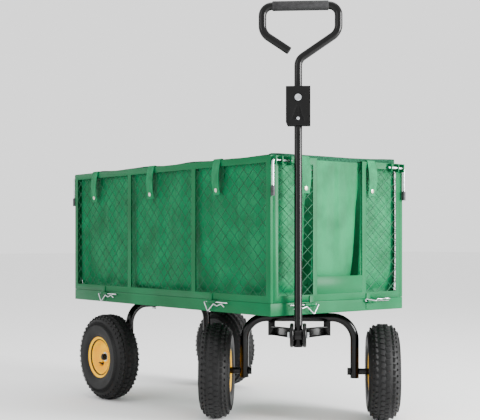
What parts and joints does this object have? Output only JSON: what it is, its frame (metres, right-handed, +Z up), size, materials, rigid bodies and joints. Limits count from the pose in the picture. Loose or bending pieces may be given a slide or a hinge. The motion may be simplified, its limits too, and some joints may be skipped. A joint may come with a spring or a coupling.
{
  "type": "garden cart",
  "caption": "Steel garden cart with fold-down mesh sides, fabric liner, pneumatic wheels, steered front axle and upright tow handle with hand loop.",
  "frame": {"origin": "on the ground under the middle of the whole cart as it stands with its front axle turned", "axes": "+X forward, +Y to the cart's left, +Z up"},
  "size_m": [1.3761, 0.6892, 1.3715],
  "materials": {
    "green_frame": "satin green powder coat",
    "green_mesh": "green coated wire mesh",
    "green_fabric": "green coated polyester fabric",
    "black_steel": "gloss black painted steel",
    "zinc": "bright zinc plating",
    "yellow_rim": "gloss yellow painted steel",
    "tyre": "black rubber tyre",
    "grip": "dark grey soft grip"
  },
  "bodies": {
    "tray": {"tray_frame": "green_frame", "tray_floor": "green_mesh", "cross_members": "green_frame", "turntable_upper_plate": "black_steel", "rear_axle_beam": "black_steel", "rear_axle_bolts": "zinc", "rear_spindles": "black_steel", "rear_axle_nuts": "black_steel", "front_panel_frame": "green_frame", "front_panel_mesh": "green_mesh", "front_low_plate": "green_frame", "front_straps": "green_fabric", "liner": "green_fabric"},
    "steering": {"front_axle_beam": "black_steel", "turntable_lower_plate": "black_steel", "kingpin": "black_steel", "tongue_arms": "black_steel", "clevis_cheeks": "black_steel", "clevis_bolt": "zinc", "front_spindles": "black_steel", "front_axle_nuts": "black_steel"},
    "handle": {"handle_tube": "black_steel", "hitch_bracket": "black_steel", "bracket_bolts": "zinc"},
    "loop": {"hand_loop": "black_steel", "grip": "grip"},
    "right_panel": {"right_panel_frame": "green_frame", "right_panel_mesh": "green_mesh", "right_straps": "green_fabric"},
    "left_panel": {"left_panel_frame": "green_frame", "left_panel_mesh": "green_mesh", "left_straps": "green_fabric"},
    "rear_panel": {"rear_panel_frame": "green_frame", "rear_panel_mesh": "green_mesh", "rear_straps": "green_fabric"},
    "wheel_front_right": {"tyre_front_right": "tyre", "rim_front_right": "yellow_rim", "bearings_front_right": "zinc"},
    "latch_front_right": {"latch_rod_front_right": "zinc"},
    "wheel_front_left": {"tyre_front_left": "tyre", "rim_front_left": "yellow_rim", "bearings_front_left": "zinc"},
    "latch_front_left": {"latch_rod_front_left": "zinc"},
    "wheel_rear_right": {"tyre_rear_right": "tyre", "rim_rear_right": "yellow_rim", "bearings_rear_right": "zinc"},
    "latch_rear_right": {"latch_rod_rear_right": "zinc"},
    "wheel_rear_left": {"tyre_rear_left": "tyre", "rim_rear_left": "yellow_rim", "bearings_rear_left": "zinc"},
    "latch_rear_left": {"latch_rod_rear_left": "zinc"},
    "clip_right_rear": {"hinge_clip_right_rear": "zinc"},
    "clip_right_front": {"hinge_clip_right_front": "zinc"},
    "clip_left_rear": {"hinge_clip_left_rear": "zinc"},
    "clip_left_front": {"hinge_clip_left_front": "zinc"},
    "clip_front_right": {"hinge_clip_front_right": "zinc"},
    "clip_front_left": {"hinge_clip_front_left": "zinc"},
    "clip_rear_right": {"hinge_clip_rear_right": "zinc"},
    "clip_rear_left": {"hinge_clip_rear_left": "zinc"}
  },
  "joints": [
    {"name": "steering", "type": "hinge", "parent": "tray", "child": "steering", "pos_m": [0.33938, 0, 0.37], "axis": [0, 0, 1], "range_deg": [-2, 88]},
    {"name": "handle_tilt", "type": "hinge", "parent": "steering", "child": "handle", "pos_m": [0.58073, -0.22506, 0.32], "axis": [0.682, 0.7314, 0], "range_deg": [0, 105]},
    {"name": "loop_swing", "type": "hinge", "parent": "handle", "child": "loop", "pos_m": [0.58073, -0.22506, 1.066], "axis": [0.7314, -0.682, 0], "range_deg": [0, 105]},
    {"name": "right_panel_fold", "type": "hinge", "parent": "tray", "child": "right_panel", "pos_m": [-0.06962, -0.3114, 0.412], "axis": [1, 0, 0], "range_deg": [0, 90]},
    {"name": "left_panel_fold", "type": "hinge", "parent": "tray", "child": "left_panel", "pos_m": [-0.06962, 0.3114, 0.412], "axis": [-1, 0, 0], "range_deg": [0, 90]},
    {"name": "rear_panel_fold", "type": "hinge", "parent": "tray", "child": "rear_panel", "pos_m": [-0.68602, 0, 0.412], "axis": [0, -1, 0], "range_deg": [0, 90]},
    {"name": "wheel_spin_front_right", "type": "hinge", "parent": "steering", "child": "wheel_front_right", "pos_m": [0.14365, -0.2099, 0.165], "axis": [0.682, 0.7314, 0], "continuous": true},
    {"name": "latch_slide_front_right", "type": "slide", "parent": "right_panel", "child": "latch_front_right", "axis": [0, -1, 0], "range_m": [0, 0.048]},
    {"name": "wheel_spin_front_left", "type": "hinge", "parent": "steering", "child": "wheel_front_left", "pos_m": [0.53512, 0.2099, 0.165], "axis": [0.682, 0.7314, 0], "continuous": true},
    {"name": "latch_slide_front_left", "type": "slide", "parent": "left_panel", "child": "latch_front_left", "axis": [0, 1, 0], "range_m": [0, 0.048]},
    {"name": "wheel_spin_rear_right", "type": "hinge", "parent": "tray", "child": "wheel_rear_right", "pos_m": [-0.44762, -0.287, 0.165], "axis": [0, 1, 0], "continuous": true},
    {"name": "latch_slide_rear_right", "type": "slide", "parent": "right_panel", "child": "latch_rear_right", "axis": [0, -1, 0], "range_m": [0, 0.048]},
    {"name": "wheel_spin_rear_left", "type": "hinge", "parent": "tray", "child": "wheel_rear_left", "pos_m": [-0.44762, 0.287, 0.165], "axis": [0, 1, 0], "continuous": true},
    {"name": "latch_slide_rear_left", "type": "slide", "parent": "left_panel", "child": "latch_rear_left", "axis": [0, 1, 0], "range_m": [0, 0.048]},
    {"name": "clip_swing_right_rear", "type": "hinge", "parent": "tray", "child": "clip_right_rear", "pos_m": [-0.06962, -0.3114, 0.412], "axis": [1, 0, 0], "range_deg": [-100, 0]},
    {"name": "clip_swing_right_front", "type": "hinge", "parent": "tray", "child": "clip_right_front", "pos_m": [-0.06962, -0.3114, 0.412], "axis": [1, 0, 0], "range_deg": [-100, 0]},
    {"name": "clip_swing_left_rear", "type": "hinge", "parent": "tray", "child": "clip_left_rear", "pos_m": [-0.06962, 0.3114, 0.412], "axis": [-1, 0, 0], "range_deg": [-100, 0]},
    {"name": "clip_swing_left_front", "type": "hinge", "parent": "tray", "child": "clip_left_front", "pos_m": [-0.06962, 0.3114, 0.412], "axis": [-1, 0, 0], "range_deg": [-100, 0]},
    {"name": "clip_swing_front_right", "type": "hinge", "parent": "tray", "child": "clip_front_right", "pos_m": [0.54678, 0, 0.412], "axis": [0, 1, 0], "range_deg": [-100, 0]},
    {"name": "clip_swing_front_left", "type": "hinge", "parent": "tray", "child": "clip_front_left", "pos_m": [0.54678, 0, 0.412], "axis": [0, 1, 0], "range_deg": [-20, 80]},
    {"name": "clip_swing_rear_right", "type": "hinge", "parent": "tray", "child": "clip_rear_right", "pos_m": [-0.68602, 0, 0.412], "axis": [0, -1, 0], "range_deg": [-100, 0]},
    {"name": "clip_swing_rear_left", "type": "hinge", "parent": "tray", "child": "clip_rear_left", "pos_m": [-0.68602, 0, 0.412], "axis": [0, -1, 0], "range_deg": [-100, 0]}
  ]
}
